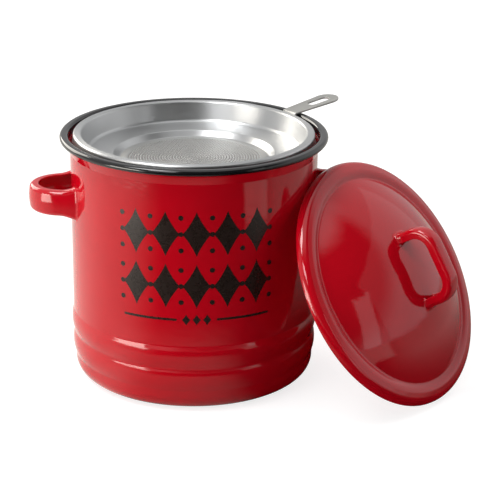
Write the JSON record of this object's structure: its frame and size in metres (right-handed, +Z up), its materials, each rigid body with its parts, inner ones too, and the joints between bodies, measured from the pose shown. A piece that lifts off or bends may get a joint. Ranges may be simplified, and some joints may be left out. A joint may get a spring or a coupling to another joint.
{
  "type": "bacon grease container",
  "caption": "Enamelled steel grease pot with two side handles, a lift-out steel strainer with a slotted tab, and a loose domed lid leaning on one handle.",
  "frame": {"origin": "centre of the pot's flat base, on the surface it stands on", "axes": "+Z up along the pot's axis; +X through the handle that the lid leans on; the lid stands on the +X, -Y side and the strainer's tab points to +X, +Y"},
  "size_m": [0.2333, 0.1573, 0.1335],
  "materials": {
    "enamel_red": "gloss vitreous enamel, black on the rolled rim",
    "steel": "satin, pressed sheet"
  },
  "bodies": {
    "pot": {"pot_body": "enamel_red", "handle_right": "enamel_red", "handle_left": "enamel_red"},
    "strainer": {"strainer_pan": "steel", "filter_disc": "steel", "strainer_tab": "steel"},
    "lid": {"lid_shell": "enamel_red", "lid_handle": "enamel_red"}
  },
  "joints": [
    {"name": "strainer_lift", "type": "slide", "parent": "pot", "child": "strainer", "axis": [0, 0, 1], "range_m": [0, 0.07]},
    {"name": "lid_pull_off", "type": "slide", "parent": "pot", "child": "lid", "axis": [0.6508, -0.551, 0.5224], "range_m": [0, 0.1]}
  ]
}
